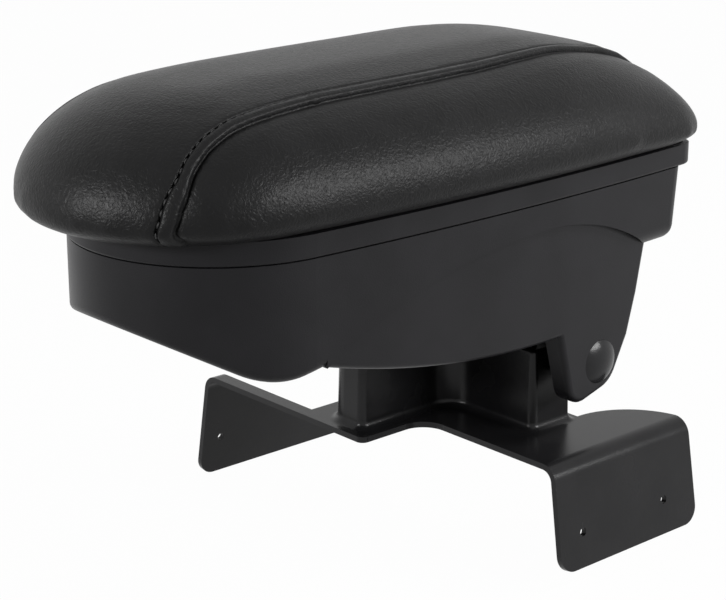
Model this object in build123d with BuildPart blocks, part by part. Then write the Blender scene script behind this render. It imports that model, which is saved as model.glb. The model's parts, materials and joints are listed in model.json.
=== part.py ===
from build123d import *
import os
from math import cos, hypot, radians, sin, sqrt, tan

# Car centre armrest, in millimetres. X points to the front of the car, Y to its left, Z up.
# The origin lies on the underside of the bracket's saddle, on the middle plane of the arm.

os.makedirs("parts", exist_ok=True)

# Running gaps
fit_gap = 0.05
slide_gap = 0.1
rest_gap = 0.3

# Pivot of the arm
pivot_x = 39.6
pivot_z = 39.7

# Bracket: saddle sheet and wings
sheet = 3.0
saddle_rear_x = -7.0
saddle_middle_rear_x = 32.0
saddle_corner_y = 78.0
saddle_left_front_x = 92.0
saddle_right_front_x = 135.0
saddle_step_y = -4.0
saddle_far_y = -52.0
step_outer_radius = 4.0
step_inner_radius = 13.0
left_fold_y = 86.0
right_fold_y = -131.0
fold_radius = 6.0
wing_flare = 9.0
wing_spread = 1.0
left_wing_drop = 50.5
right_wing_drop = 57.5
right_strip = 8.0
right_tip_x = 36.0
right_tip_height = 8.0
wing_corner = 9.0
wing_hole = 4.2
left_hole_front_x = 76.0
left_hole_rear_x = 16.0
left_hole_z = -33.0
right_hole_x = 123.4
right_hole_z = -36.7

# Bracket: tower
tower_wall = 3.0
tower_half_width = 46.0
tower_rear_x = 38.0
tower_front_x = 65.5
tower_top_z = 45.0
tower_arm_front_x = 128.0
tower_arm_outer_y = -37.0
tower_arm_inner_y = -12.0
tower_arm_corner = 12.0
tower_arm_fillet = 14.0
tower_corner = 4.0
tower_draft = 1.5
tower_edge = 2.0
tower_foot = 4.0
ear_radius = 10.5
ear_fillet = 6.0
boss_radius = 12.0

# Pivot stack
tube_diameter = 12.0
bolt_diameter = 6.0
bolt_clearance = 0.2
bolt_head_flats = 10.0
bolt_head_height = 4.0
bolt_end = 0.8
nut_height = 3.2
washer_diameter = 18.0
washer_thickness = 1.6
bush_diameter = 15.0
bush_flange_diameter = 26.0
bush_flange = 1.1

# Stop buffers
bumper_x = 57.0
bumper_y = 33.0
bumper_diameter = 10.0
bumper_stem = 5.0
bumper_bulb = 6.4
bumper_bulb_height = 2.5
bumper_round = 2.0

# Plan of the arm: bowed sides and a round nose
rim_half_width = 72.7
widest_x = 133.6
side_radius = 1710.0
nose_radius = 70.3

# Storage bin: tray
seam_z = 130.3
lid_gap = 0.5
wall = 2.8
bin_inset = 1.0
bin_rear_x = -21.0
bin_rear_low_x = -17.0
bin_rear_low_z = 92.5
bin_rear_corner = 9.0
bin_rear_round = 7.0
notch_x = 220.3
notch_z = 79.2
chin_low_x = 245.0
chin_low_z = 74.0
chin_front_z = 100.3
chin_radius = 40.0
chin_edge = 4.5
arch_peak_x = 84.0
arch_peak_z = 116.8
arch_rear_x = 5.3
arch_rear_z = 92.5
ledge_z = 118.8

# Storage bin: lower hull and cheeks
hull_floor_z = 58.8
hull_flat_x = 75.0
hull_rear_x = 10.5
hull_rear_z = 69.3
hull_inset_rear = 3.3
hull_inset_front = 0.5
hull_edge = 3.0
cheek_radius = 15.5
cheek_toe_x = 52.5
cheek_toe_z = 32.0
cheek_toe_radius = 10.8
cheek_rear_x = 16.9
cheek_rear_z = 48.5
cheek_front_x = 71.0
cheek_front_z = 59.5
cheek_thickness = 9.0
cap_diameter = 22.0
cap_depth = 1.5
cap_dome = 3.0
cap_wall = 1.0
cap_skirt_depth = 1.6
counterbore = 19.0
counterbore_depth = 4.9

# Lid hinge
hinge_setback = 4.4
hinge_drop = 4.2
hinge_pin_diameter = 3.0
knuckle_radius = 3.5
knuckle_gap = 0.4
knuckle_length = 15.0
knuckle_count = 5
leaf_width = 16.0
leaf_thickness = 2.0

# Lid frame
rim_rear_reach = 8.0
rim_rear_corner = 11.0
rim_height = 10.7
rim_wall = 3.0
rim_edge = 1.5
panel_lift = 2.5
panel_thickness = 2.5
screw_boss = 10.0
screw_diameter = 4.0
screw_head = 8.0
screw_head_height = 2.4
screw_depth = 4.0
screw_rear_x = 15.0
screw_front_x = 235.0
screw_y = 40.0

# Cushion
cover = 1.2
board_thickness = 5.0
cover_turn_in = 14.0
cushion_half_width = 81.0
cushion_widest_x = 140.0
cushion_side_radius = 2000.0
cushion_nose_radius = 78.0
cushion_rear_x = -32.0
cushion_rear_corner = 54.0
cushion_height = 56.5
cushion_top_round = 44.0
cushion_bottom_round = 10.0
panel_seam_y = 46.0
panel_seam_gap = 0.2

# Bowed sides of the tray and the hull
bin_half_width = rim_half_width - bin_inset
nose_x = widest_x + sqrt((side_radius - nose_radius) ** 2 - (side_radius - rim_half_width) ** 2)
bin_front_x = nose_x + nose_radius - bin_inset


def tray_half_width(x):
    """Half width of the tray along its bowed sides."""
    return rim_half_width - side_radius + sqrt((side_radius - bin_inset) ** 2 - (x - widest_x) ** 2)


def hull_half_width(x):
    """Half width of the lower hull. It widens forwards until it is nearly flush with the tray."""
    along = (x - arch_rear_x) / (notch_x - arch_rear_x)
    return tray_half_width(x) - hull_inset_rear - along * (hull_inset_front - hull_inset_rear)


# Derived places
cheek_face_y = hull_half_width(pivot_x)
cheek_inner_y = cheek_face_y - cheek_thickness
boss_face_y = cheek_inner_y - bush_flange - slide_gap
counterbore_floor_y = cheek_face_y - counterbore_depth
ear_top_z = pivot_z + ear_radius
bin_top_z = seam_z - lid_gap
rim_rear_x = bin_rear_x - rim_rear_reach
rim_top_z = seam_z + rim_height
hinge_x = bin_rear_x - hinge_setback
hinge_z = seam_z - hinge_drop
chin_slope = (chin_front_z - chin_low_z) / (bin_front_x - chin_low_x)
chin_end_x = bin_front_x + 2 * wall
chin_end_z = chin_low_z + chin_slope * (chin_end_x - chin_low_x)
chin_tail_x = 2 * notch_x - chin_low_x
chin_tail_z = 2 * notch_z - chin_low_z
cheek_lean = (cheek_rear_x - hull_rear_x) / (hull_rear_z - cheek_rear_z)
hull_corner_x = hull_rear_x + cheek_lean * (hull_rear_z - hull_floor_z)
hull_rise = notch_z - hull_floor_z
hull_sweep_radius = ((notch_x - hull_flat_x) ** 2 + hull_rise**2) / (2 * hull_rise)
hull_tail_x = notch_x + wall
hull_tail_z = (
    hull_floor_z + hull_sweep_radius - sqrt(hull_sweep_radius**2 - (hull_tail_x - hull_flat_x) ** 2)
)
tube_half_length = counterbore_floor_y + slide_gap
washer_outer_y = tube_half_length + washer_thickness
cap_seat_y = cheek_face_y - cap_depth
bolt_bore = bolt_diameter + 2 * bolt_clearance
cover_bottom_z = rim_top_z
board_setback = cushion_bottom_round + rest_gap
board_bottom_z = cover_bottom_z + cover
board_top_z = board_bottom_z + board_thickness


def bowed_plan(half_width, bow, nose, middle_x, rear_x, rear_corner):
    """Plan with bowed sides, widest at middle_x, that run smoothly into a round nose."""
    run = sqrt((bow - nose) ** 2 - (bow - half_width) ** 2)
    turn_x = middle_x + bow * run / (bow - nose)
    turn_y = half_width - bow + bow * (bow - half_width) / (bow - nose)
    rear_y = half_width - bow + sqrt(bow**2 - (rear_x - middle_x) ** 2)
    with BuildSketch() as outline:
        with BuildLine():
            ThreePointArc((rear_x, rear_y), (middle_x, half_width), (turn_x, turn_y))
            ThreePointArc((turn_x, turn_y), (middle_x + run + nose, 0), (turn_x, -turn_y))
            ThreePointArc((turn_x, -turn_y), (middle_x, -half_width), (rear_x, -rear_y))
            Line((rear_x, -rear_y), (rear_x, rear_y))
        make_face()
        if rear_corner:
            rear_points = outline.vertices().filter_by(lambda point: abs(point.X - rear_x) < fit_gap)
            fillet(rear_points, rear_corner)
    return outline.sketch


def arm_plan(inset, rear_x, rear_corner=0):
    """Plan of the arm at a distance inside the lid's rim."""
    return bowed_plan(
        rim_half_width - inset,
        side_radius - inset,
        nose_radius - inset,
        widest_x,
        rear_x,
        rear_corner,
    )


def across(y):
    """Upright plane along the arm at a distance y from its middle. Its normal points to the right."""
    return Plane.XZ.offset(-y)


def disc(radius, bore=0):
    """Round section about the pivot, with a bore where one is given."""
    with BuildSketch() as section:
        with Locations((pivot_x, pivot_z)):
            Circle(radius)
            if bore:
                Circle(bore, mode=Mode.SUBTRACT)
    return section.sketch


def hexagon(flats, bore=0):
    """Hexagon about the pivot, for a bolt head or a nut."""
    with BuildSketch() as section:
        with Locations((pivot_x, pivot_z)):
            RegularPolygon(flats / 2, 6, major_radius=False)
            if bore:
                Circle(bore, mode=Mode.SUBTRACT)
    return section.sketch


# Bracket


def left_side():
    """Side outline of the saddle's left half. Its ends spread a little towards the wing's edge."""
    depth = left_wing_drop + sheet
    with BuildSketch() as outline:
        with BuildLine():
            Polyline(
                (saddle_rear_x, 2 * sheet),
                (saddle_rear_x, 0),
                (saddle_rear_x - wing_spread, -depth),
                (saddle_left_front_x + wing_spread, -depth),
                (saddle_left_front_x, 0),
                (saddle_left_front_x, 2 * sheet),
                close=True,
            )
        make_face()
    return outline.sketch


def right_side():
    """Side outline of the saddle's right half: a narrow strip, and a wing that tapers to the rear."""
    depth = right_wing_drop + sheet
    with BuildSketch() as outline:
        with BuildLine():
            Polyline(
                (saddle_right_front_x - right_strip, 2 * sheet),
                (saddle_right_front_x - right_strip, -sheet),
                (right_tip_x, right_tip_height - right_wing_drop),
                (right_tip_x, -depth),
                (saddle_right_front_x + wing_spread, -depth),
                (saddle_right_front_x, 0),
                (saddle_right_front_x, 2 * sheet),
                close=True,
            )
        make_face()
    return outline.sketch


def wing_y(fold_y, z):
    """Outer face of a wing at height z."""
    outward = (sheet - z) * tan(radians(wing_flare))
    return fold_y + outward if fold_y > 0 else fold_y - outward


def wing_plane(fold_y, z):
    """Plane on the outer face of a wing at height z, facing outwards."""
    side = 1 if fold_y > 0 else -1
    facing = (0, side * cos(radians(wing_flare)), sin(radians(wing_flare)))
    return Plane(origin=(0, wing_y(fold_y, z), z), x_dir=(1, 0, 0), z_dir=facing)


def tower_form(inset, base_z):
    """Drafted tower on an L-shaped plan, with a round ear on the pivot. The inset form is its hollow."""
    plan_rear_x = pivot_x - ear_radius - tower_corner
    with BuildPart() as form:
        with BuildSketch(Plane.XY.offset(base_z)):
            with BuildLine():
                FilletPolyline(
                    (plan_rear_x, -tower_half_width),
                    (tower_arm_front_x, tower_arm_outer_y),
                    (tower_arm_front_x, tower_arm_inner_y),
                    (tower_front_x, tower_arm_inner_y),
                    (tower_front_x, tower_half_width),
                    (plan_rear_x, tower_half_width),
                    radius=[0, tower_arm_corner, tower_corner, tower_arm_fillet, tower_corner, 0],
                    close=True,
                )
            make_face()
            if inset:
                offset(amount=-inset)
        extrude(amount=ear_top_z - base_z, taper=tower_draft)
        with BuildSketch(across(0)) as side_outline:
            with Locations((pivot_x, pivot_z)):
                Circle(ear_radius)
            with BuildLine():
                Polyline(
                    (tower_rear_x, base_z),
                    (tower_arm_front_x, base_z),
                    (tower_arm_front_x, tower_top_z),
                    (tower_rear_x, tower_top_z),
                    close=True,
                )
            make_face()
            ear_ends = side_outline.vertices().filter_by(
                lambda point: abs(hypot(point.X - pivot_x, point.Y - pivot_z) - ear_radius) < fit_gap
            ).filter_by(lambda point: point.X > pivot_x + fit_gap or point.Y < pivot_z - fit_gap)
            fillet(ear_ends, ear_fillet)
            if inset:
                offset(amount=-inset)
        extrude(amount=2 * tower_half_width, both=True, mode=Mode.INTERSECT)
        if not inset:
            upper_edges = form.edges().filter_by(
                lambda edge: edge.center().Z > sheet and edge.length > tower_edge
            )
            fillet(upper_edges, tower_edge)
    return form.part


saddle_span = 2 * (left_fold_y - right_fold_y)
tower = tower_form(0, 0)
tower_hollow = tower_form(tower_wall, -2 * tower_wall)

with BuildPart() as console_bracket:
    with BuildSketch(across(saddle_step_y)):
        add(right_side())
    extrude(amount=saddle_span)
    with BuildSketch(across(saddle_step_y)):
        add(left_side())
    extrude(amount=-saddle_span)
    with BuildSketch(across(saddle_step_y)):
        with Locations((saddle_middle_rear_x, 0)):
            Rectangle(
                saddle_right_front_x - saddle_middle_rear_x, sheet, align=(Align.MIN, Align.MIN)
            )
    extrude(amount=saddle_step_y - saddle_far_y)
    with BuildSketch(Plane.XY.offset(-sheet)):
        with BuildLine():
            TangentArc(
                (saddle_middle_rear_x, tower_half_width), (saddle_rear_x, saddle_corner_y), tangent=(-1, 0)
            )
            Polyline(
                (saddle_rear_x, saddle_corner_y),
                (saddle_rear_x - sheet, saddle_corner_y),
                (saddle_rear_x - sheet, saddle_step_y - sheet),
                (saddle_middle_rear_x, saddle_step_y - sheet),
                (saddle_middle_rear_x, tower_half_width),
            )
        make_face()
    extrude(amount=3 * sheet + fit_gap, mode=Mode.SUBTRACT)
    with BuildSketch(Plane.YZ):
        with BuildLine():
            skin = FilletPolyline(
                (wing_y(left_fold_y, -left_wing_drop), -left_wing_drop),
                (left_fold_y, sheet),
                (right_fold_y, sheet),
                (wing_y(right_fold_y, -right_wing_drop), -right_wing_drop),
                radius=fold_radius + sheet,
            )
            offset(skin, amount=sheet, side=Side.LEFT)
        make_face()
    extrude(amount=saddle_span, both=True, mode=Mode.INTERSECT)
    inner_step = console_bracket.edges().filter_by(Axis.Z).filter_by_position(
        Axis.Y, saddle_step_y - fit_gap, saddle_step_y + fit_gap
    ).filter_by_position(Axis.X, saddle_left_front_x - fit_gap, saddle_left_front_x + fit_gap)
    fillet(inner_step, step_inner_radius)
    outer_step = console_bracket.edges().filter_by(Axis.Z).sort_by(Axis.X)[-1]
    fillet(outer_step, step_outer_radius)
    wing_ends = console_bracket.edges().filter_by(
        lambda edge: edge.length < 2 * sheet
        and edge.center().Z < sheet - left_wing_drop
        and (edge.center().Y > 0 or edge.center().X > right_hole_x)
    )
    fillet(wing_ends, wing_corner)
    for fold_y, hole_z, hole_xs in (
        (left_fold_y, left_hole_z, (left_hole_rear_x, left_hole_front_x)),
        (right_fold_y, right_hole_z, (right_hole_x,)),
    ):
        with BuildSketch(wing_plane(fold_y, hole_z)):
            with Locations(*[(x, 0) for x in hole_xs]):
                Circle(wing_hole / 2)
        extrude(amount=2 * sheet, both=True, mode=Mode.SUBTRACT)
    add(tower)
    foot_edges = console_bracket.edges().filter_by_position(
        Axis.Z, sheet - fit_gap, sheet + fit_gap
    ).filter_by(lambda edge: tower.distance_to(edge.center()) < fit_gap)
    fillet(foot_edges, tower_foot)
    add(tower_hollow, mode=Mode.SUBTRACT)
    for side in (1, -1):
        with BuildSketch(across(side * boss_face_y)):
            add(disc(boss_radius))
        extrude(amount=side * (boss_face_y - tower_half_width + 2 * tower_wall))
    with BuildSketch(across(0)):
        add(disc(tube_diameter / 2 + fit_gap))
    extrude(amount=2 * tower_half_width, both=True, mode=Mode.SUBTRACT)
    with Locations(*[(bumper_x, side * bumper_y, tower_top_z) for side in (1, -1)]):
        Hole(bumper_stem / 2 + fit_gap, depth=2 * tower_wall)
console_bracket.part.label = "console_bracket"
export_step(console_bracket.part, "parts/console_bracket.step")

with BuildPart() as pivot_tube:
    with BuildSketch(across(0)):
        add(disc(tube_diameter / 2, bolt_bore / 2))
    extrude(amount=tube_half_length, both=True)
pivot_tube.part.label = "pivot_tube"
export_step(pivot_tube.part, "parts/pivot_tube.step")

with BuildPart() as pivot_bolt:
    with BuildSketch(across(washer_outer_y)):
        add(hexagon(bolt_head_flats))
    extrude(amount=-bolt_head_height)
    with BuildSketch(across(washer_outer_y)):
        add(disc(bolt_diameter / 2))
    extrude(amount=2 * washer_outer_y + nut_height + bolt_end)
pivot_bolt.part.label = "pivot_bolt"
export_step(pivot_bolt.part, "parts/pivot_bolt.step")

with BuildPart() as pivot_nut:
    with BuildSketch(across(-washer_outer_y)):
        add(hexagon(bolt_head_flats, bolt_diameter / 2 + fit_gap))
    extrude(amount=nut_height)
pivot_nut.part.label = "pivot_nut"
export_step(pivot_nut.part, "parts/pivot_nut.step")

for side, hand in ((1, "left"), (-1, "right")):
    with BuildPart() as pivot_washer:
        with BuildSketch(across(side * tube_half_length)):
            add(disc(washer_diameter / 2, bolt_bore / 2))
        extrude(amount=-side * washer_thickness)
    pivot_washer.part.label = f"pivot_washer_{hand}"
    export_step(pivot_washer.part, f"parts/pivot_washer_{hand}.step")

    with BuildPart() as stop_bumper:
        with Locations((bumper_x, side * bumper_y, tower_top_z)):
            Cylinder(
                bumper_diameter / 2,
                hull_floor_z - rest_gap - tower_top_z,
                align=(Align.CENTER, Align.CENTER, Align.MIN),
            )
        crown = stop_bumper.faces().sort_by(Axis.Z)[-1]
        fillet(crown.edges(), bumper_round)
        with Locations((bumper_x, side * bumper_y, tower_top_z)):
            Cylinder(
                bumper_stem / 2,
                tower_wall + slide_gap + bumper_bulb_height,
                align=(Align.CENTER, Align.CENTER, Align.MAX),
            )
        with Locations((bumper_x, side * bumper_y, tower_top_z - tower_wall - slide_gap)):
            Cone(
                bumper_stem / 2,
                bumper_bulb / 2,
                bumper_bulb_height,
                align=(Align.CENTER, Align.CENTER, Align.MAX),
            )
    stop_bumper.part.label = f"stop_bumper_{hand}"
    export_step(stop_bumper.part, f"parts/stop_bumper_{hand}.step")


# Storage bin


def arm_side(top_z):
    """Side outline of the whole box: tray and lower hull, with the chin that sweeps up to the front."""
    with BuildSketch() as outline:
        with BuildLine():
            FilletPolyline(
                (chin_end_x, chin_end_z),
                (chin_end_x, top_z),
                (bin_rear_x, top_z),
                (bin_rear_low_x, bin_rear_low_z),
                (arch_rear_x, arch_rear_z),
                (hull_rear_x, hull_rear_z),
                (hull_corner_x, hull_floor_z),
                (hull_flat_x, hull_floor_z),
                radius=[0, 0, bin_rear_round, 0, 0, 0],
            )
            TangentArc((hull_flat_x, hull_floor_z), (notch_x, notch_z), tangent=(1, 0))
            FilletPolyline(
                (notch_x, notch_z), (chin_low_x, chin_low_z), (chin_end_x, chin_end_z), radius=chin_radius
            )
        make_face()
    return outline.sketch


def tray_side():
    """Side outline of the tray behind the chin, whose lower edge is the arch over the hull."""
    with BuildSketch() as outline:
        with BuildLine():
            FilletPolyline(
                (notch_x, notch_z),
                (notch_x, bin_top_z),
                (bin_rear_x, bin_top_z),
                (bin_rear_low_x, bin_rear_low_z),
                (arch_rear_x, arch_rear_z),
                radius=[0, 0, bin_rear_round],
            )
            TangentArc((arch_peak_x, arch_peak_z), (arch_rear_x, arch_rear_z), tangent=(-1, 0))
            TangentArc((arch_peak_x, arch_peak_z), (notch_x, notch_z), tangent=(1, 0))
        make_face()
    return outline.sketch


with BuildPart() as chin:
    with BuildSketch(Plane.XY.offset(hull_floor_z)):
        add(arm_plan(bin_inset, bin_rear_x))
    extrude(amount=bin_top_z - hull_floor_z)
    with BuildSketch(across(0)):
        with BuildLine():
            FilletPolyline(
                (chin_tail_x, chin_tail_z),
                (chin_low_x, chin_low_z),
                (chin_end_x, chin_end_z),
                (chin_end_x, bin_top_z),
                (chin_tail_x, bin_top_z),
                radius=[0, chin_radius, 0, 0, 0],
                close=True,
            )
        make_face()
    extrude(amount=2 * bin_half_width, both=True, mode=Mode.INTERSECT)
    chin_edges = chin.edges().filter_by(
        lambda edge: edge.geom_type != GeomType.LINE
        and edge.center().Z < bin_top_z - chin_edge
        and edge.center().X > chin_tail_x + fit_gap
    )
    fillet(chin_edges, chin_edge)
    split(bisect_by=Plane.YZ.offset(notch_x), keep=Keep.TOP)

with BuildPart() as tray:
    with BuildSketch(Plane.XY.offset(hull_floor_z)):
        add(arm_plan(bin_inset, bin_rear_x))
    extrude(amount=bin_top_z - hull_floor_z)
    with BuildSketch(across(0)):
        add(tray_side())
    extrude(amount=2 * bin_half_width, both=True, mode=Mode.INTERSECT)
    rear_wall = tray.faces().filter_by(lambda face: face.normal_at().X < -0.9).sort_by(Axis.X)[0]
    rear_corners = rear_wall.edges().filter_by(lambda edge: abs(edge.center().Y) > bin_half_width / 2)
    fillet(rear_corners, bin_rear_corner)
    add(chin.part)

with BuildPart() as hull:
    with BuildSketch(across(0)):
        with BuildLine():
            Polyline(
                (hull_tail_x, hull_tail_z),
                (hull_tail_x, arch_peak_z),
                (arch_rear_x, arch_peak_z),
                (arch_rear_x, arch_rear_z),
                (hull_rear_x, hull_rear_z),
                (hull_corner_x, hull_floor_z),
                (hull_flat_x, hull_floor_z),
            )
            TangentArc((hull_flat_x, hull_floor_z), (hull_tail_x, hull_tail_z), tangent=(1, 0))
        make_face()
    extrude(amount=bin_half_width, both=True)
    for side in (1, -1):
        with BuildSketch(across(side * bin_half_width)):
            with Locations((pivot_x, pivot_z)):
                Circle(cheek_radius)
            with Locations((cheek_toe_x, cheek_toe_z)):
                Circle(cheek_toe_radius)
            with BuildLine():
                Polyline(
                    (arch_rear_x, arch_rear_z),
                    (hull_rear_x, hull_rear_z),
                    (cheek_rear_x, cheek_rear_z),
                    (cheek_front_x, cheek_front_z),
                    (cheek_front_x, arch_rear_z),
                    close=True,
                )
            make_face()
            make_hull()
        extrude(amount=side * (bin_half_width - cheek_inner_y))
    with BuildSketch():
        with BuildLine():
            for side in (1, -1):
                ThreePointArc(
                    (bin_rear_x, side * hull_half_width(bin_rear_x)),
                    (arch_peak_x, side * hull_half_width(arch_peak_x)),
                    (hull_tail_x, side * hull_half_width(hull_tail_x)),
                )
            for x in (bin_rear_x, hull_tail_x):
                Line((x, -hull_half_width(x)), (x, hull_half_width(x)))
        make_face()
    extrude(amount=bin_top_z, mode=Mode.INTERSECT)
    outer_edges = hull.edges().filter_by(
        lambda edge: abs(edge.center().Y) > hull_half_width(edge.center().X) - hull_inset_rear / 2
        and edge.center().Z < arch_rear_z
        and edge.center().X < notch_x - fit_gap
    )
    fillet(outer_edges, hull_edge)


def box_space(inset, floor_z):
    """Inner space of the box above a height, one wall inside the side outline."""
    with BuildPart() as space:
        with BuildSketch(Plane.XY.offset(floor_z)):
            add(arm_plan(inset, bin_rear_x))
        extrude(amount=bin_top_z + wall - floor_z)
        with BuildSketch(across(0)):
            add(arm_side(bin_top_z + 2 * wall))
            offset(amount=-wall)
        extrude(amount=2 * bin_half_width, both=True, mode=Mode.INTERSECT)
    return space.part


with BuildPart() as mouth_space:
    add(box_space(bin_inset + wall, ledge_z))
    mouth_corners = mouth_space.edges().filter_by(
        lambda edge: edge.center().X < 0 and abs(edge.tangent_at(0.5).Z) > 0.9
    )
    fillet(mouth_corners, bin_rear_corner - wall)

with BuildPart() as bin_space:
    add(box_space(bin_inset + hull_inset_rear + wall, hull_floor_z))
    add(mouth_space.part)


def knuckle_y(index):
    """Middle of one knuckle along the hinge, counted from the right."""
    return (index - (knuckle_count - 1) / 2) * (knuckle_length + knuckle_gap)


hinge_half_length = knuckle_count * (knuckle_length + knuckle_gap) / 2
bin_knuckles = range(1, knuckle_count, 2)
lid_knuckles = range(0, knuckle_count, 2)

with BuildPart() as storage_bin:
    add(tray.part)
    add(hull.part)
    add(bin_space.part, mode=Mode.SUBTRACT)
    for side in (1, -1):
        with BuildSketch(across(side * cheek_inner_y)):
            add(disc(bush_diameter / 2 + fit_gap))
        extrude(amount=-side * bin_half_width, mode=Mode.SUBTRACT)
        with BuildSketch(across(side * counterbore_floor_y)):
            add(disc(counterbore / 2))
        extrude(amount=-side * bin_half_width, mode=Mode.SUBTRACT)
        with BuildSketch(across(side * cap_seat_y)):
            add(disc(cap_diameter / 2 + slide_gap))
        extrude(amount=-side * bin_half_width, mode=Mode.SUBTRACT)
    for index in bin_knuckles:
        with BuildSketch(across(knuckle_y(index))):
            with Locations((hinge_x, hinge_z)):
                Circle(knuckle_radius)
            with BuildLine():
                Polyline(
                    (hinge_x, hinge_z + knuckle_radius),
                    (bin_rear_x + wall / 2, hinge_z + knuckle_radius),
                    (bin_rear_low_x, bin_rear_low_z + bin_rear_corner),
                    (hinge_x, hinge_z - knuckle_radius),
                    close=True,
                )
            make_face()
        extrude(amount=knuckle_length / 2, both=True)
    with BuildSketch(across(0)):
        with Locations((hinge_x, hinge_z)):
            Circle(hinge_pin_diameter / 2 + fit_gap)
    extrude(amount=bin_half_width, both=True, mode=Mode.SUBTRACT)
storage_bin.part.label = "storage_bin"
export_step(storage_bin.part, "parts/storage_bin.step")

with BuildPart() as hinge_pin:
    with BuildSketch(across(0)):
        with Locations((hinge_x, hinge_z)):
            Circle(hinge_pin_diameter / 2)
    extrude(amount=hinge_half_length, both=True)
hinge_pin.part.label = "hinge_pin"
export_step(hinge_pin.part, "parts/hinge_pin.step")


def dome_y(radius):
    """Outer face of a pivot cap at a radius from its middle."""
    dome_radius = (cap_diameter**2 / 4 + cap_dome**2) / (2 * cap_dome)
    return cap_seat_y + cap_depth + cap_dome - dome_radius + sqrt(dome_radius**2 - radius**2)


for side, hand in ((1, "left"), (-1, "right")):
    with BuildPart() as pivot_bush:
        with BuildSketch(across(side * cheek_inner_y)):
            add(disc(bush_flange_diameter / 2, tube_diameter / 2 + fit_gap))
        extrude(amount=side * bush_flange)
        with BuildSketch(across(side * cheek_inner_y)):
            add(disc(bush_diameter / 2, tube_diameter / 2 + fit_gap))
        extrude(amount=-side * (counterbore_floor_y - cheek_inner_y))
    pivot_bush.part.label = f"pivot_bush_{hand}"
    export_step(pivot_bush.part, f"parts/pivot_bush_{hand}.step")

    skirt = counterbore / 2 - fit_gap
    hollow = skirt - cap_wall
    with BuildPart() as pivot_cap:
        with BuildSketch(Plane(origin=(pivot_x, 0, pivot_z), x_dir=(1, 0, 0), z_dir=(0, 0, 1))):
            with BuildLine():
                ThreePointArc(
                    (0, side * dome_y(0)),
                    (cap_diameter / 4, side * dome_y(cap_diameter / 4)),
                    (cap_diameter / 2, side * dome_y(cap_diameter / 2)),
                )
                Polyline(
                    (cap_diameter / 2, side * dome_y(cap_diameter / 2)),
                    (cap_diameter / 2, side * cap_seat_y),
                    (skirt, side * cap_seat_y),
                    (skirt, side * (cap_seat_y - cap_skirt_depth)),
                    (hollow, side * (cap_seat_y - cap_skirt_depth)),
                    (hollow, side * (dome_y(hollow) - cap_wall)),
                )
                ThreePointArc(
                    (hollow, side * (dome_y(hollow) - cap_wall)),
                    (hollow / 2, side * (dome_y(hollow / 2) - cap_wall)),
                    (0, side * (dome_y(0) - cap_wall)),
                )
                Line((0, side * (dome_y(0) - cap_wall)), (0, side * dome_y(0)))
            make_face()
        revolve(axis=Axis((pivot_x, 0, pivot_z), (0, 1, 0)))
    pivot_cap.part.label = f"pivot_cap_{hand}"
    export_step(pivot_cap.part, f"parts/pivot_cap_{hand}.step")


# Lid

screw_places = [(x, side * screw_y) for x in (screw_rear_x, screw_front_x) for side in (1, -1)]


def rim_plan(inset):
    """Plan of the lid's rim, or of a pocket at a distance inside it."""
    return arm_plan(inset, rim_rear_x + inset, rim_rear_corner - inset)


with BuildPart() as lid_frame:
    with BuildSketch(Plane.XY.offset(seam_z)):
        add(rim_plan(0))
    extrude(amount=rim_height)
    rim_edges = lid_frame.faces().sort_by(Axis.Z)[0].edges()
    fillet(rim_edges, rim_edge)
    with BuildSketch(Plane.XY.offset(seam_z)):
        add(rim_plan(rim_wall))
    extrude(amount=panel_lift, mode=Mode.SUBTRACT)
    with BuildSketch(Plane.XY.offset(rim_top_z)):
        add(rim_plan(rim_wall))
    extrude(amount=panel_lift + panel_thickness - rim_height, mode=Mode.SUBTRACT)
    with BuildSketch(Plane.XY.offset(seam_z + panel_lift)):
        with Locations(*screw_places):
            Circle(screw_boss / 2)
    extrude(amount=board_bottom_z - seam_z - panel_lift)
    with BuildSketch(Plane.XY.offset(seam_z)):
        with Locations(*screw_places):
            Circle(screw_diameter / 2 + slide_gap)
    extrude(amount=2 * rim_height, mode=Mode.SUBTRACT)
lid_frame.part.label = "lid_frame"
export_step(lid_frame.part, "parts/lid_frame.step")

leaf_rear_x = rim_rear_x + rim_wall + slide_gap
leaf_bottom_z = seam_z + panel_lift - leaf_thickness

with BuildPart() as lid_hinge:
    with BuildSketch(Plane.XY.offset(leaf_bottom_z)):
        with Locations((leaf_rear_x, 0)):
            Rectangle(leaf_width, 2 * hinge_half_length, align=(Align.MIN, Align.CENTER))
    extrude(amount=leaf_thickness)
    for index in lid_knuckles:
        with BuildSketch(across(knuckle_y(index))):
            with Locations((hinge_x, hinge_z)):
                Circle(knuckle_radius)
            with BuildLine():
                Polyline(
                    (leaf_rear_x, hinge_z),
                    (hinge_x + knuckle_radius / 2, hinge_z),
                    (hinge_x + knuckle_radius / 2, leaf_bottom_z + leaf_thickness / 2),
                    (leaf_rear_x, leaf_bottom_z + leaf_thickness / 2),
                    close=True,
                )
            make_face()
        extrude(amount=knuckle_length / 2, both=True)
    with BuildSketch(across(0)):
        with Locations((hinge_x, hinge_z)):
            Circle(hinge_pin_diameter / 2 + slide_gap)
    extrude(amount=rim_half_width, both=True, mode=Mode.SUBTRACT)
lid_hinge.part.label = "lid_hinge"
export_step(lid_hinge.part, "parts/lid_hinge.step")

with BuildPart() as lid_screws:
    with BuildSketch(Plane.XY.offset(seam_z + panel_lift)):
        with Locations(*screw_places):
            Circle(screw_head / 2)
    extrude(amount=-screw_head_height)
    with BuildSketch(Plane.XY.offset(seam_z + panel_lift)):
        with Locations(*screw_places):
            Circle(screw_diameter / 2)
    extrude(amount=board_bottom_z + screw_depth - seam_z - panel_lift)
lid_screws.part.label = "lid_screws"
export_step(lid_screws.part, "parts/lid_screws.step")


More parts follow.
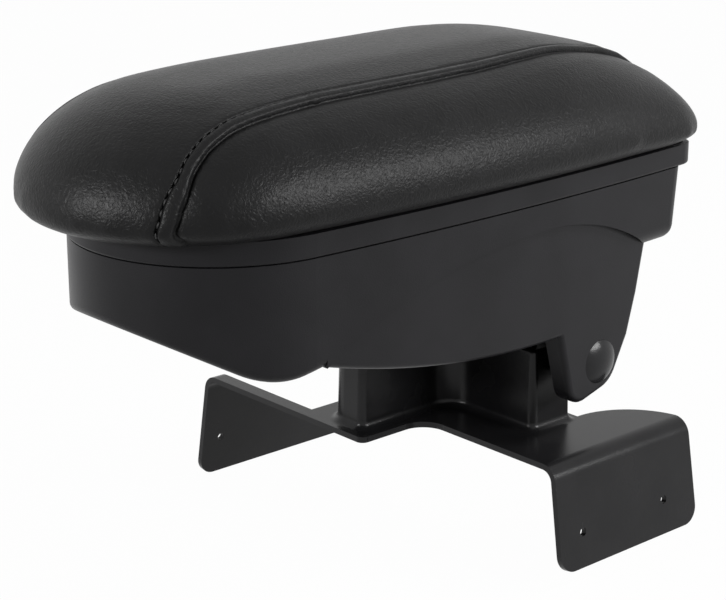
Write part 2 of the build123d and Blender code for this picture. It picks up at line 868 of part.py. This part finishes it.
def cushion_plan(inset):
    """Plan of the cushion at a distance inside its widest outline."""
    return bowed_plan(
        cushion_half_width - inset,
        cushion_side_radius - inset,
        cushion_nose_radius - inset,
        cushion_widest_x,
        cushion_rear_x + inset,
        cushion_rear_corner - inset,
    )


def cushion_form(inset):
    """Rounded body of the cushion at a distance inside its outer face."""
    with BuildPart() as form:
        with BuildSketch(Plane.XY.offset(cover_bottom_z + inset)):
            add(cushion_plan(inset))
        extrude(amount=cushion_height - 2 * inset)
        fillet(form.faces().sort_by(Axis.Z)[-1].edges(), cushion_top_round - inset)
        fillet(form.faces().sort_by(Axis.Z)[0].edges(), cushion_bottom_round - inset)
    return form.part


with BuildPart() as pad_board:
    with BuildSketch(Plane.XY.offset(board_bottom_z)):
        add(cushion_plan(board_setback))
    extrude(amount=board_thickness)
    with BuildSketch(Plane.XY.offset(board_bottom_z)):
        with Locations(*screw_places):
            Circle(screw_diameter / 2 + fit_gap)
    extrude(amount=screw_depth + slide_gap, mode=Mode.SUBTRACT)
pad_board.part.label = "pad_board"
export_step(pad_board.part, "parts/pad_board.step")

with BuildPart() as foam_pad:
    add(cushion_form(cover + rest_gap))
    with BuildSketch(Plane.XY.offset(cover_bottom_z)):
        add(cushion_plan(board_setback - rest_gap))
    extrude(amount=board_top_z - cover_bottom_z, mode=Mode.SUBTRACT)
foam_pad.part.label = "foam_pad"
export_step(foam_pad.part, "parts/foam_pad.step")

with BuildPart() as cover_skin:
    add(cushion_form(0))
    add(cushion_form(cover), mode=Mode.SUBTRACT)
    with BuildSketch(Plane.XY.offset(cover_bottom_z)):
        add(cushion_plan(cover_turn_in))
    extrude(amount=cover, mode=Mode.SUBTRACT)

half_seam = panel_seam_gap / 2
with BuildPart() as cover_left_panel:
    add(cover_skin.part)
    split(bisect_by=across(panel_seam_y + half_seam), keep=Keep.BOTTOM)
cover_left_panel.part.label = "cover_left_panel"
export_step(cover_left_panel.part, "parts/cover_left_panel.step")

with BuildPart() as cover_centre_panel:
    add(cover_skin.part)
    split(bisect_by=across(panel_seam_y - half_seam), keep=Keep.TOP)
    split(bisect_by=across(half_seam - panel_seam_y), keep=Keep.BOTTOM)
cover_centre_panel.part.label = "cover_centre_panel"
export_step(cover_centre_panel.part, "parts/cover_centre_panel.step")

with BuildPart() as cover_right_panel:
    add(cover_skin.part)
    split(bisect_by=across(-panel_seam_y - half_seam), keep=Keep.TOP)
cover_right_panel.part.label = "cover_right_panel"
export_step(cover_right_panel.part, "parts/cover_right_panel.step")
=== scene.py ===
import json
import math

import bmesh
import bpy
import numpy as np
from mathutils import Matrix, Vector


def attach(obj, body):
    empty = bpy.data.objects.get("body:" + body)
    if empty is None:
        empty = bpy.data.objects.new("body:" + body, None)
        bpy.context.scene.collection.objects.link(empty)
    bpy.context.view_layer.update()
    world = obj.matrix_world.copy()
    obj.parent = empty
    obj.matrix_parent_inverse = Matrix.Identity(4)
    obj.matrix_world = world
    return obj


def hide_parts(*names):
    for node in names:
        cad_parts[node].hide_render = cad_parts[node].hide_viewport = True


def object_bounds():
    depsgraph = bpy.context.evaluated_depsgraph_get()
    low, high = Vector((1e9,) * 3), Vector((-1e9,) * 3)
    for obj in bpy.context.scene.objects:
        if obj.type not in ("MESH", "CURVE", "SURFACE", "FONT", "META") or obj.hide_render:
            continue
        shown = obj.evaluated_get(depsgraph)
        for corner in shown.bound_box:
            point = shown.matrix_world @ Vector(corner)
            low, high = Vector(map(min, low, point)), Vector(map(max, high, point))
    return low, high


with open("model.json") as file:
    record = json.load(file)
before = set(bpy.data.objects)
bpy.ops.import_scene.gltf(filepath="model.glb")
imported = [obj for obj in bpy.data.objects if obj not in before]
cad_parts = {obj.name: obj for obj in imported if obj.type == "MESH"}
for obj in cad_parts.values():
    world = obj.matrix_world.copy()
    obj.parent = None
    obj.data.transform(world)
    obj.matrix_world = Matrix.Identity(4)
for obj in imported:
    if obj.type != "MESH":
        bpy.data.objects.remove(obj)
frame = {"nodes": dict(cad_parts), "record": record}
cad_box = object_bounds()
nodes = frame["nodes"]

MM = 0.001

# Cushion, in millimetres: the plan of its widest line, the crown over it and the roll under it
PLAN_WIDEST_X = 132.5
PLAN_HALF_WIDTH = 81.7
PLAN_SIDE_RADIUS = 1364.0
PLAN_NOSE_RADIUS = 77.3
PLAN_REAR_X = -41.4
PLAN_REAR_CORNER = 35.0
CROWN_TOP_Z = 200.5
CROWN_RISE = 50.1
CROWN_REACH = 63.7
REAR_FALL, REAR_FALL_X = 0.00232, 76.2
NOSE_FALL, NOSE_FALL_X = 0.00061, 200.0
ROLL_BOTTOM_Z = 141.2
ROLL_REACH = 12.4
OUTLINE_REAR_STEPS, OUTLINE_ARC_STEPS = 30, 120
BALL_SEGMENTS, BALL_RINGS = 128, 64
FOAM_VOXEL = 5.0
FOAM_SMOOTHING = 8

# Cloth step: how hard and how long it puffs, how far a point may move, how much smaller the plan and
# the crown start, how often the moves are evened out, and the height of the band that is held
PUFF_PRESSURE = 4.0
PUFF_FRAMES = 20
PUFF_LIMIT = 3.0
PUFF_SLACK = -1.0
PUFF_LIFT = 1.6
PUFF_EVENING = 40
PUFF_HELD_BAND = 1.0

# Seams of the cover: where they run over the crown, how they lean at the foot, and how the cover dips
# and rises at each distance from the seam, towards the middle
SEAM_X = (-60.0, 22.0, 50.0, 74.0, 109.0, 143.0, 206.0, 235.0, 255.0, 269.0, 279.0, 285.0, 320.0)
SEAM_Y = (34.0, 38.6, 42.1, 45.3, 48.3, 49.4, 49.4, 50.4, 51.4, 53.1, 55.6, 58.2, 58.6)
SEAM_FOOT_Z = 155.0
SEAM_FOOT_LEAN = 0.28
SEAM_BASE_Y = 49.0
SEAM_PROFILE = (
    (-13.0, 0.0), (-6.0, -0.4), (-3.0, -0.9), (-1.4, -1.5), (-0.6, -2.2), (-0.15, -2.7),
    (0.15, -1.5), (0.45, -0.1), (0.9, 0.5), (2.2, 0.8), (3.6, 0.6), (4.1, -0.2), (4.35, -1.2),
    (4.5, -1.5), (4.65, -1.2), (4.9, -0.2), (5.6, 0.25), (8.0, 0.2), (14.0, 0.0),
)
SEAM_FADE = 3.0
STITCH_LINE = 4.5
STITCH_LINE_REACH = 0.02
STITCH_LENGTH = 3.4
STITCH_PITCH = 4.8
STITCH_THICKNESS = 1.0
STITCH_RISE = 1.15
STITCH_DRAW_IN = 1.5
STITCH_ROW_MIDDLE_Z = 160.0

# Sheen of the black finishes, as the shader's specular level
PLASTIC_SHEEN = 0.15
BRACKET_SHEEN = 0.2
LEATHERETTE_SHEEN = 0.14

# Studio, in metres: the camera, the paper and how bright the backdrop is by height and by side
CAMERA_PLACE = (0.74958, 0.68653, 0.36667)
CAMERA_BACK = Vector((0.6344, 0.7120, 0.3007))
CAMERA_SENSOR_WIDTH = 36.0
CAMERA_LENS = 98.97
TOWARD_CAMERA = Vector((0.665, 0.747, 0))
PAPER_SIZE = 6
PAPER_EDGE = 0.36
PAPER_GAP = 0.0005
PAPER_COLOUR = (0.5, 0.5, 0.5, 1)
WHITE = (1, 1, 1, 1)
WHITE_SHARE = 0.98
BACKDROP_BY_HEIGHT = ((-0.3, 0.0), (0.0, 0.2), (0.12, 0.8), (0.32, 0.8), (0.58, 0.2), (1.0, 0.24))
BACKDROP_BY_SIDE = ((-1.0, 1.0), (0.2, 1.0), (0.5, 0.04), (1.0, 0.02))

# Lamps: place, aim, size and power
KEY_SOFTBOX = ((-0.95, 0.75, 1.2), (-0.1, 0.2, -0.05), (0.45, 0.45), 16)
RIGHT_STRIP = ((-0.36, 1.02, 0.45), (0.2, 0.08, 0.162), (0.6, 0.2), 10.5)
FRONT_STRIP = ((1.39, -0.14, 0.505), (0.307, 0.03, 0.16), (0.5, 0.2), 11.5)


def deselect():
    bpy.ops.object.select_all(action="DESELECT")


def place_primitive(operator, name, **sizes):
    """Adds a primitive with its place in its mesh and makes it the only selected object."""
    deselect()
    operator(**sizes)
    piece = bpy.context.object
    piece.name = name
    piece.data.name = name
    bpy.ops.object.transform_apply(location=True, rotation=True, scale=True)
    return piece


def open_edit(piece):
    """Opens a piece in edit mode with all of it selected."""
    bpy.context.view_layer.objects.active = piece
    bpy.ops.object.mode_set(mode="EDIT")
    bpy.ops.mesh.select_mode(type="VERT")
    bpy.ops.mesh.select_all(action="SELECT")


def close_edit():
    bpy.ops.object.mode_set(mode="OBJECT")


def apply_modifier(piece, kind, **settings):
    bpy.context.view_layer.objects.active = piece
    modifier = piece.modifiers.new(kind.lower(), kind)
    for name, value in settings.items():
        setattr(modifier, name, value)
    bpy.ops.object.modifier_apply(modifier=modifier.name)


def points_of(piece):
    points = np.zeros(len(piece.data.vertices) * 3, np.float32)
    piece.data.vertices.foreach_get("co", points)
    return points.reshape(-1, 3).astype(float)


def move_points(piece, points):
    piece.data.vertices.foreach_set("co", points.astype(np.float32).ravel())
    piece.data.update()


def lengths_along(points):
    """How far each point of a line lies from its start."""
    return np.concatenate([[0], np.cumsum(np.linalg.norm(np.diff(points, axis=0), axis=1))])


def along_line(at, length, line):
    return np.array([np.interp(at, length, line[:, i]) for i in range(line.shape[1])])


def normals_of(piece):
    normals = np.zeros(len(piece.data.vertices) * 3, np.float32)
    piece.data.vertex_normals.foreach_get("vector", normals)
    return normals.reshape(-1, 3).astype(float)


# Finishes


def new_finish(name, roughness, sheen=0.5):
    material = bpy.data.materials.new(name)
    material.use_nodes = True
    shader = material.node_tree.nodes["Principled BSDF"]
    shader.inputs["Roughness"].default_value = roughness
    shader.inputs["Specular IOR Level"].default_value = sheen
    return material, material.node_tree, shader


def add_node(tree, kind, inputs=None, **settings):
    node = tree.nodes.new(kind)
    for name, value in settings.items():
        setattr(node, name, value)
    for name, value in (inputs or {}).items():
        if isinstance(value, bpy.types.NodeSocket):
            tree.links.new(value, node.inputs[name])
        else:
            node.inputs[name].default_value = value
    return node


def object_place(tree, scale=(1, 1, 1)):
    coordinates = add_node(tree, "ShaderNodeTexCoord")
    return add_node(
        tree, "ShaderNodeMapping", {"Vector": coordinates.outputs["Object"], "Scale": scale}
    ).outputs["Vector"]


def tone(tree, shader, factor, dark, light):
    """Lets a pattern run the colour between two shades."""
    ramp = add_node(tree, "ShaderNodeValToRGB", {"Fac": factor})
    ramp.color_ramp.elements[0].position = 0.3
    ramp.color_ramp.elements[0].color = (*dark, 1)
    ramp.color_ramp.elements[1].position = 0.7
    ramp.color_ramp.elements[1].color = (*light, 1)
    tree.links.new(ramp.outputs["Color"], shader.inputs["Base Color"])


def gloss(tree, shader, factor, low, high):
    """Lets a pattern run the roughness between two values."""
    spread = add_node(tree, "ShaderNodeMapRange", {"Value": factor, "To Min": low, "To Max": high})
    tree.links.new(spread.outputs["Result"], shader.inputs["Roughness"])


def raise_grain(tree, shader, height, depth):
    bump = add_node(tree, "ShaderNodeBump", {"Height": height, "Distance": depth, "Strength": 1.0})
    tree.links.new(bump.outputs["Normal"], shader.inputs["Normal"])


def moulded_finish(
    name, dark, light, roughness, grain_size=0.0006, grain_depth=0.00006, sheen=PLASTIC_SHEEN
):
    """Moulded plastic with a fine spark-eroded grain and faint clouding."""
    material, tree, shader = new_finish(name, roughness, sheen)
    place = object_place(tree)
    clouds = add_node(tree, "ShaderNodeTexNoise", {"Vector": place, "Scale": 35.0, "Detail": 3.0})
    grain = add_node(
        tree, "ShaderNodeTexNoise", {"Vector": place, "Scale": 1 / grain_size, "Detail": 2.0}
    )
    tone(tree, shader, clouds.outputs["Fac"], dark, light)
    gloss(tree, shader, clouds.outputs["Fac"], roughness - 0.05, roughness + 0.05)
    raise_grain(tree, shader, grain.outputs["Fac"], grain_depth)
    return material


def leatherette_finish():
    """Soft leatherette: fine wrinkles that run together into small pebbles."""
    material, tree, shader = new_finish("black_leatherette", 0.42, LEATHERETTE_SHEEN)
    place = object_place(tree)
    sway = add_node(tree, "ShaderNodeTexNoise", {"Vector": place, "Scale": 60.0, "Detail": 2.0})
    wrinkles = add_node(
        tree, "ShaderNodeTexNoise", {"Vector": place, "Scale": 420.0, "Detail": 3.0, "Distortion": 1.6}
    )
    pebbles = add_node(
        tree, "ShaderNodeTexVoronoi", {"Vector": place, "Scale": 900.0}, feature="SMOOTH_F1"
    )
    height = add_node(
        tree, "ShaderNodeMath",
        {0: pebbles.outputs["Distance"], 1: 0.35, 2: wrinkles.outputs["Fac"]}, operation="MULTIPLY_ADD",
    )
    tone(tree, shader, sway.outputs["Fac"], (0.006, 0.006, 0.0062), (0.009, 0.009, 0.0093))
    gloss(tree, shader, wrinkles.outputs["Fac"], 0.44, 0.32)
    raise_grain(tree, shader, height.outputs["Value"], 0.0003)
    return material


def thread_finish():
    """Twisted black thread."""
    material, tree, shader = new_finish("black_thread", 0.6)
    place = object_place(tree, (1.0, 1.6, 1.6))
    twist = add_node(tree, "ShaderNodeTexWave", {"Vector": place, "Scale": 700.0, "Distortion": 1.0})
    tone(tree, shader, twist.outputs["Fac"], (0.006, 0.006, 0.006), (0.014, 0.014, 0.0145))
    raise_grain(tree, shader, twist.outputs["Fac"], 0.00008)
    return material


def metal_finish(name, dark, light, roughness):
    """Zinc-plated steel with a faint turned texture."""
    material, tree, shader = new_finish(name, roughness)
    shader.inputs["Metallic"].default_value = 1.0
    place = object_place(tree)
    cloud = add_node(tree, "ShaderNodeTexNoise", {"Vector": place, "Scale": 400.0, "Detail": 4.0})
    tone(tree, shader, cloud.outputs["Fac"], dark, light)
    gloss(tree, shader, cloud.outputs["Fac"], roughness - 0.08, roughness + 0.08)
    raise_grain(tree, shader, cloud.outputs["Fac"], 0.00002)
    return material


def wood_finish():
    """Raw plywood board."""
    material, tree, shader = new_finish("plywood", 0.7)
    place = object_place(tree, (6.0, 60.0, 60.0))
    fibres = add_node(tree, "ShaderNodeTexNoise", {"Vector": place, "Scale": 3.0, "Detail": 6.0})
    tone(tree, shader, fibres.outputs["Fac"], (0.36, 0.23, 0.12), (0.55, 0.38, 0.22))
    raise_grain(tree, shader, fibres.outputs["Fac"], 0.0001)
    return material


def dress_nodes():
    """Gives the CAD nodes their finishes, apart from the soft ones, which the cushion stands for."""
    bracket = moulded_finish(
        "bracket_black", (0.0075, 0.0074, 0.008), (0.0105, 0.0103, 0.011), 0.26, sheen=BRACKET_SHEEN
    )
    box = moulded_finish("box_charcoal", (0.0095, 0.0093, 0.0104), (0.0125, 0.0122, 0.0137), 0.38)
    cap = moulded_finish(
        "cap_black", (0.018, 0.018, 0.019), (0.022, 0.022, 0.023), 0.22, grain_size=0.0009, grain_depth=0.00002
    )
    bush = moulded_finish("bush_acetal", (0.68, 0.67, 0.62), (0.76, 0.75, 0.7), 0.45)
    rubber = moulded_finish("bumper_rubber", (0.012, 0.012, 0.012), (0.018, 0.018, 0.018), 0.65)
    steel = metal_finish("zinc_steel", (0.5, 0.5, 0.51), (0.62, 0.62, 0.63), 0.35)
    finishes = {
        "bracket_plastic": bracket, "box_plastic": box, "cap_plastic": cap, "bush_plastic": bush,
        "rubber": rubber, "steel": steel, "board": wood_finish(),
    }
    for row in frame["record"]["subparts"]:
        finish = finishes.get(row["material_slot"])
        if finish:
            mesh = nodes[row["node"]].data
            mesh.materials.clear()
            mesh.materials.append(finish)


# Cushion


def cushion_outline(slack):
    """Half of the cushion's plan, from mid-rear to nose: its points and the way outward at each."""
    half_width, bow = PLAN_HALF_WIDTH - slack, PLAN_SIDE_RADIUS - slack
    nose, corner = PLAN_NOSE_RADIUS - slack, PLAN_REAR_CORNER - slack
    nose_x = PLAN_WIDEST_X + math.sqrt((bow - nose) ** 2 - (bow - half_width) ** 2)
    bow_y = half_width - bow
    corner_x = PLAN_REAR_X + slack + corner
    corner_y = bow_y + math.sqrt((bow - corner) ** 2 - (corner_x - PLAN_WIDEST_X) ** 2)
    to_corner = math.atan2(corner_y - bow_y, corner_x - PLAN_WIDEST_X)
    to_nose = math.atan2(-bow_y, nose_x - PLAN_WIDEST_X)
    points, outward = [], []
    for y in np.linspace(0, corner_y, OUTLINE_REAR_STEPS)[:-1]:
        points.append((PLAN_REAR_X + slack, y))
        outward.append((-1, 0))
    for x, y, radius, first, last in (
        (corner_x, corner_y, corner, math.pi, to_corner),
        (PLAN_WIDEST_X, bow_y, bow, to_corner, to_nose),
        (nose_x, 0, nose, to_nose, 0),
    ):
        for angle in np.linspace(first, last, OUTLINE_ARC_STEPS)[:-1]:
            way = (math.cos(angle), math.sin(angle))
            points.append((x + radius * way[0], y + radius * way[1]))
            outward.append(way)
    points.append((nose_x + nose, 0))
    outward.append((1, 0))
    return np.array(points), np.array(outward)


def span_crown(cushion, ball):
    """Spans the flat of the crown from side to side, in place of the fan round the ball's pole."""
    levels = np.round(ball[:, 2], 4)
    ring = np.nonzero(levels == np.unique(levels)[-2])[0]
    turn = np.arctan2(ball[ring, 1], ball[ring, 0])
    ends = np.abs(np.sin(turn)) < 0.001
    mesh = bmesh.new()
    mesh.from_mesh(cushion.data)
    mesh.verts.ensure_lookup_table()
    pole = mesh.verts[int(np.argmax(levels))]
    left, right = (
        [mesh.verts[int(i)] for i in ring[half][np.argsort(np.abs(turn[half]))]]
        for half in (ends | (turn > 0), ends | (turn < 0))
    )
    bmesh.ops.delete(mesh, geom=[pole], context="VERTS")
    for i in range(len(left) - 1):
        corners = (left[i], left[i + 1], right[i + 1], right[i])
        mesh.faces.new(list(dict.fromkeys(corners)))
    bmesh.ops.recalc_face_normals(mesh, faces=mesh.faces)
    mesh.to_mesh(cushion.data)
    mesh.free()


def foam_block(slack, lift):
    """Foam cut to the cushion's form: a ball pulled out to the plan, the crown and the tucked-in roll."""
    cushion = place_primitive(
        bpy.ops.mesh.primitive_uv_sphere_add, "cushion",
        segments=BALL_SEGMENTS, ring_count=BALL_RINGS, radius=1,
    )
    ball = points_of(cushion)
    outline, outward = cushion_outline(slack)
    length = lengths_along(outline)
    place = (1 - np.abs(np.arctan2(ball[:, 1], ball[:, 0])) / math.pi) * length[-1]
    side = np.where(ball[:, 1] < 0, -1.0, 1.0)
    x, y = along_line(place, length, outline)
    way_x, way_y = along_line(place, length, outward)
    rise = np.arcsin(np.clip(ball[:, 2], -1, 1))
    crown = rise > 0
    widest_z = CROWN_TOP_Z - CROWN_RISE
    tuck = np.where(crown, CROWN_REACH - slack, ROLL_REACH - slack) * (1 - np.cos(rise))
    height = np.where(crown, CROWN_RISE - lift, widest_z - ROLL_BOTTOM_Z)
    x, y = x - way_x * tuck, y - way_y * tuck
    z = widest_z + height * np.sin(rise)
    rear_fall = REAR_FALL * np.maximum(REAR_FALL_X - x, 0) ** 2
    nose_fall = NOSE_FALL * np.maximum(x - NOSE_FALL_X, 0) ** 2
    z = z - (rear_fall + nose_fall) * (z - ROLL_BOTTOM_Z) / (CROWN_TOP_Z - ROLL_BOTTOM_Z)
    move_points(cushion, np.column_stack([x, side * y, z]) * MM)
    span_crown(cushion, ball)
    return cushion


def even_out(cushion, moves):
    """Averages the moves of neighbouring points over and over, so that the cover has no stray creases."""
    pairs = np.zeros(len(cushion.data.edges) * 2, np.int32)
    cushion.data.edges.foreach_get("vertices", pairs)
    first, second = pairs.reshape(-1, 2).T
    neighbours = np.bincount(pairs, minlength=len(moves))[:, None]
    for _ in range(PUFF_EVENING):
        total = np.zeros_like(moves)
        np.add.at(total, first, moves[second])
        np.add.at(total, second, moves[first])
        moves = (moves + total / neighbours) / 2
    return moves


def puff(cushion):
    """Pulls the cover tight: inflates the closed form as cloth and limits how far a point may move."""
    start = points_of(cushion)
    seat = cushion.vertex_groups.new(name="seat")
    held = np.nonzero(start[:, 2] < (ROLL_BOTTOM_Z + PUFF_HELD_BAND) * MM)[0]
    seat.add([int(i) for i in held], 1.0, "REPLACE")
    cloth = cushion.modifiers.new("cover", "CLOTH")
    cloth.settings.use_pressure = True
    cloth.settings.uniform_pressure_force = PUFF_PRESSURE
    cloth.settings.effector_weights.gravity = 0.0
    cloth.settings.vertex_group_mass = seat.name
    scene = bpy.context.scene
    for step in range(1, PUFF_FRAMES + 1):
        scene.frame_set(step)
    bpy.context.view_layer.objects.active = cushion
    bpy.ops.object.modifier_apply(modifier=cloth.name)
    scene.frame_set(1)
    cushion.vertex_groups.clear()
    move = points_of(cushion) - start
    far = np.maximum(np.linalg.norm(move, axis=1), 1e-9)
    limit = PUFF_LIMIT * MM
    points = start + even_out(cushion, move * (limit * np.tanh(far / limit) / far)[:, None])
    points[:, 2] = np.maximum(points[:, 2], ROLL_BOTTOM_Z * MM)
    move_points(cushion, points)


def seam_share(points):
    """How far out the seam runs at each point, as a share of its usual distance from the middle."""
    run = np.interp(points[:, 0] / MM, SEAM_X, SEAM_Y)
    run = run - SEAM_FOOT_LEAN * np.maximum(SEAM_FOOT_Z - points[:, 2] / MM, 0)
    return run / SEAM_BASE_Y


def sew_seams(cushion):
    """Cuts fine loops along both seams, dips the cover along them and returns the two stitch lines."""
    points = points_of(cushion)
    points[:, 1] /= seam_share(points)
    move_points(cushion, points)
    open_edit(cushion)
    for side in (1, -1):
        for away, _ in SEAM_PROFILE:
            bpy.ops.mesh.select_all(action="SELECT")
            bpy.ops.mesh.bisect(
                plane_co=(0, side * (SEAM_BASE_Y - away) * MM, 0), plane_no=(0, 1, 0)
            )
    close_edit()
    points = points_of(cushion)
    straight_y = points[:, 1] / MM
    points[:, 1] *= seam_share(points)
    move_points(cushion, points)
    normals = normals_of(cushion)
    knots, dips = np.array(SEAM_PROFILE).T
    rise = np.clip((points[:, 2] / MM - ROLL_BOTTOM_Z) / SEAM_FADE, 0, 1)
    lines = []
    for side in (1, -1):
        away = SEAM_BASE_Y - side * straight_y
        points = points + normals * (np.interp(away, knots, dips) * MM * rise)[:, None]
        lines.append(np.nonzero(np.abs(away - STITCH_LINE) < STITCH_LINE_REACH)[0])
    move_points(cushion, points)
    return [(points[line], normals[line]) for line in lines]


def stitch_row(points, normals):
    """Puts the points of a stitch line in their order, from one foot of the cushion over it to the other."""
    middle_x = (points[:, 0].min() + points[:, 0].max()) / 2
    order = np.argsort(np.arctan2(points[:, 2] - STITCH_ROW_MIDDLE_Z * MM, points[:, 0] - middle_x))
    order = order[points[order, 2] > (ROLL_BOTTOM_Z + SEAM_FADE) * MM]
    gaps = np.linalg.norm(np.diff(points[order], axis=0, append=points[order[:1]]), axis=1)
    order = np.roll(order, -(int(np.argmax(gaps)) + 1))
    return points[order], normals[order]


def make_stitches(lines, thread):
    """Rows of short thread stitches along both seams, each lying in the cover with its ends drawn in."""
    bead = place_primitive(
        bpy.ops.mesh.primitive_uv_sphere_add, "stitches", segments=6, ring_count=6, radius=1
    )
    shape = points_of(bead)
    faces = [list(face.vertices) for face in bead.data.polygons]
    half, thick = STITCH_LENGTH / 2 * MM, STITCH_THICKNESS / 2 * MM
    heights = shape[:, 1] * thick + STITCH_RISE * MM - STITCH_DRAW_IN * thick * shape[:, 2] ** 2
    verts, polygons = [], []
    for line in lines:
        points, normals = stitch_row(*line)
        length = lengths_along(points)
        for at in np.arange(STITCH_PITCH / 2 * MM, length[-1], STITCH_PITCH * MM):
            before, middle, after = (along_line(at + step * MM, length, points) for step in (-1, 0, 1))
            along = (after - before) / np.linalg.norm(after - before)
            up = along_line(at, length, normals)
            up -= along * (up @ along)
            up /= np.linalg.norm(up)
            across = np.cross(up, along)
            base = len(verts)
            for (a, _, c), height in zip(shape, heights):
                verts.append(middle + along * c * half + across * a * thick + up * height)
            polygons += [[base + i for i in face] for face in faces]
    mesh = bpy.data.meshes.new("stitches")
    mesh.from_pydata([tuple(v) for v in verts], [], polygons)
    bead.data = mesh
    deselect()
    bead.select_set(True)
    bpy.context.view_layer.objects.active = bead
    bpy.ops.object.shade_smooth()
    mesh.materials.append(thread)
    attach(bead, "lid")


def make_cushion(leatherette):
    """The cushion: foam under a sewn cover. It stands for the solid panels, the foam and the board."""
    cushion = foam_block(PUFF_SLACK, PUFF_LIFT)
    cushion.data.remesh_voxel_size = FOAM_VOXEL * MM
    bpy.ops.object.voxel_remesh()
    apply_modifier(cushion, "SMOOTH", factor=0.5, iterations=FOAM_SMOOTHING)
    puff(cushion)
    apply_modifier(cushion, "SUBSURF", levels=1, render_levels=1)
    lines = sew_seams(cushion)
    bpy.ops.object.shade_smooth()
    cushion.data.materials.clear()
    cushion.data.materials.append(leatherette)
    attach(cushion, "lid")
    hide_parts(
        "cover_centre_panel", "cover_left_panel", "cover_right_panel", "foam_pad", "pad_board"
    )
    return lines


# Studio


def seen_white(tree):
    """Which rays see the studio's white: the camera's, reflected ones and those through glass."""
    path = add_node(tree, "ShaderNodeLightPath")
    through = add_node(
        tree, "ShaderNodeMath",
        {0: path.outputs["Is Camera Ray"], 1: path.outputs["Is Transmission Ray"]}, operation="MAXIMUM",
    )
    return add_node(
        tree, "ShaderNodeMath",
        {0: through.outputs["Value"], 1: path.outputs["Is Glossy Ray"]}, operation="MAXIMUM",
    )


def stage_floor():
    """White paper that reaches just past the object towards the camera. It catches the object's shadow."""
    floor = place_primitive(
        bpy.ops.mesh.primitive_plane_add, "studio_floor",
        size=PAPER_SIZE, location=(0, 0, cad_box[0].z - PAPER_GAP),
    )
    open_edit(floor)
    bpy.ops.mesh.bisect(
        plane_co=TOWARD_CAMERA * PAPER_EDGE, plane_no=TOWARD_CAMERA, clear_outer=True
    )
    close_edit()
    material = bpy.data.materials.new("studio_white")
    material.use_nodes = True
    tree = material.node_tree
    tree.nodes.clear()
    seen = seen_white(tree)
    share = add_node(
        tree, "ShaderNodeMath", {0: seen.outputs["Value"], 1: WHITE_SHARE}, operation="MULTIPLY"
    )
    paper = add_node(tree, "ShaderNodeBsdfDiffuse", {"Color": PAPER_COLOUR})
    white = add_node(tree, "ShaderNodeEmission", {"Color": WHITE, "Strength": 1.0})
    mix = add_node(
        tree, "ShaderNodeMixShader",
        {0: share.outputs["Value"], 1: paper.outputs["BSDF"], 2: white.outputs["Emission"]},
    )
    add_node(tree, "ShaderNodeOutputMaterial", {"Surface": mix.outputs["Shader"]})
    floor.data.materials.append(material)


def soft_ramp(tree, value, stops):
    """Brightness that runs smoothly through stops given over the range from -1 to 1."""
    place = add_node(tree, "ShaderNodeMapRange", {"Value": value, "From Min": -1.0})
    ramp = add_node(tree, "ShaderNodeValToRGB", {"Fac": place.outputs["Result"]})
    ramp.color_ramp.interpolation = "EASE"
    elements = ramp.color_ramp.elements
    while len(elements) < len(stops):
        elements.new(0.5)
    for element, (at, level) in zip(elements, stops):
        element.position = (at + 1) / 2
        element.color = (level, level, level, 1)
    return ramp.outputs["Color"]


def stage_world():
    """White to the camera and in reflections. Its soft light comes low from behind and from the sides."""
    world = bpy.data.worlds.new("studio")
    bpy.context.scene.world = world
    world.use_nodes = True
    tree = world.node_tree
    tree.nodes.clear()
    seen = seen_white(tree)
    way = add_node(tree, "ShaderNodeTexCoord").outputs["Generated"]
    height = add_node(tree, "ShaderNodeVectorMath", {0: way, 1: (0, 0, 1)}, operation="DOT_PRODUCT")
    ahead = add_node(
        tree, "ShaderNodeVectorMath", {0: way, 1: tuple(TOWARD_CAMERA)}, operation="DOT_PRODUCT"
    )
    low_light = soft_ramp(tree, height.outputs["Value"], BACKDROP_BY_HEIGHT)
    side_light = soft_ramp(tree, ahead.outputs["Value"], BACKDROP_BY_SIDE)
    level = add_node(
        tree, "ShaderNodeMix", {0: 1.0, 6: low_light, 7: side_light}, data_type="RGBA", blend_type="MULTIPLY"
    )
    colour = add_node(
        tree, "ShaderNodeMix", {0: seen.outputs["Value"], 6: level.outputs[2], 7: WHITE}, data_type="RGBA"
    )
    light = add_node(tree, "ShaderNodeBackground", {"Color": colour.outputs[2], "Strength": 1.0})
    add_node(tree, "ShaderNodeOutputWorld", {"Surface": light.outputs["Background"]})


def stage_lamp(name, place, aim, size, power):
    deselect()
    bpy.ops.object.light_add(type="AREA", location=place)
    lamp = bpy.context.object
    lamp.name = name
    lamp.data.shape = "RECTANGLE"
    lamp.data.size, lamp.data.size_y = size
    lamp.data.energy = power
    lamp.rotation_euler = (Vector(aim) - Vector(place)).to_track_quat("-Z", "Y").to_euler()
    return lamp


def stage_camera():
    deselect()
    bpy.ops.object.camera_add(location=CAMERA_PLACE)
    camera = bpy.context.object
    camera.rotation_euler = (-CAMERA_BACK).to_track_quat("-Z", "Y").to_euler()
    camera.data.sensor_width = CAMERA_SENSOR_WIDTH
    camera.data.lens = CAMERA_LENS
    bpy.context.scene.camera = camera


dress_nodes()
stitch_lines = make_cushion(leatherette_finish())
make_stitches(stitch_lines, thread_finish())

stage_floor()
stage_world()
key = stage_lamp("key_softbox", *KEY_SOFTBOX)
key.visible_glossy = False
stage_lamp("right_strip", *RIGHT_STRIP)
stage_lamp("front_strip", *FRONT_STRIP)
stage_camera()
bpy.context.scene.view_settings.view_transform = "Standard"
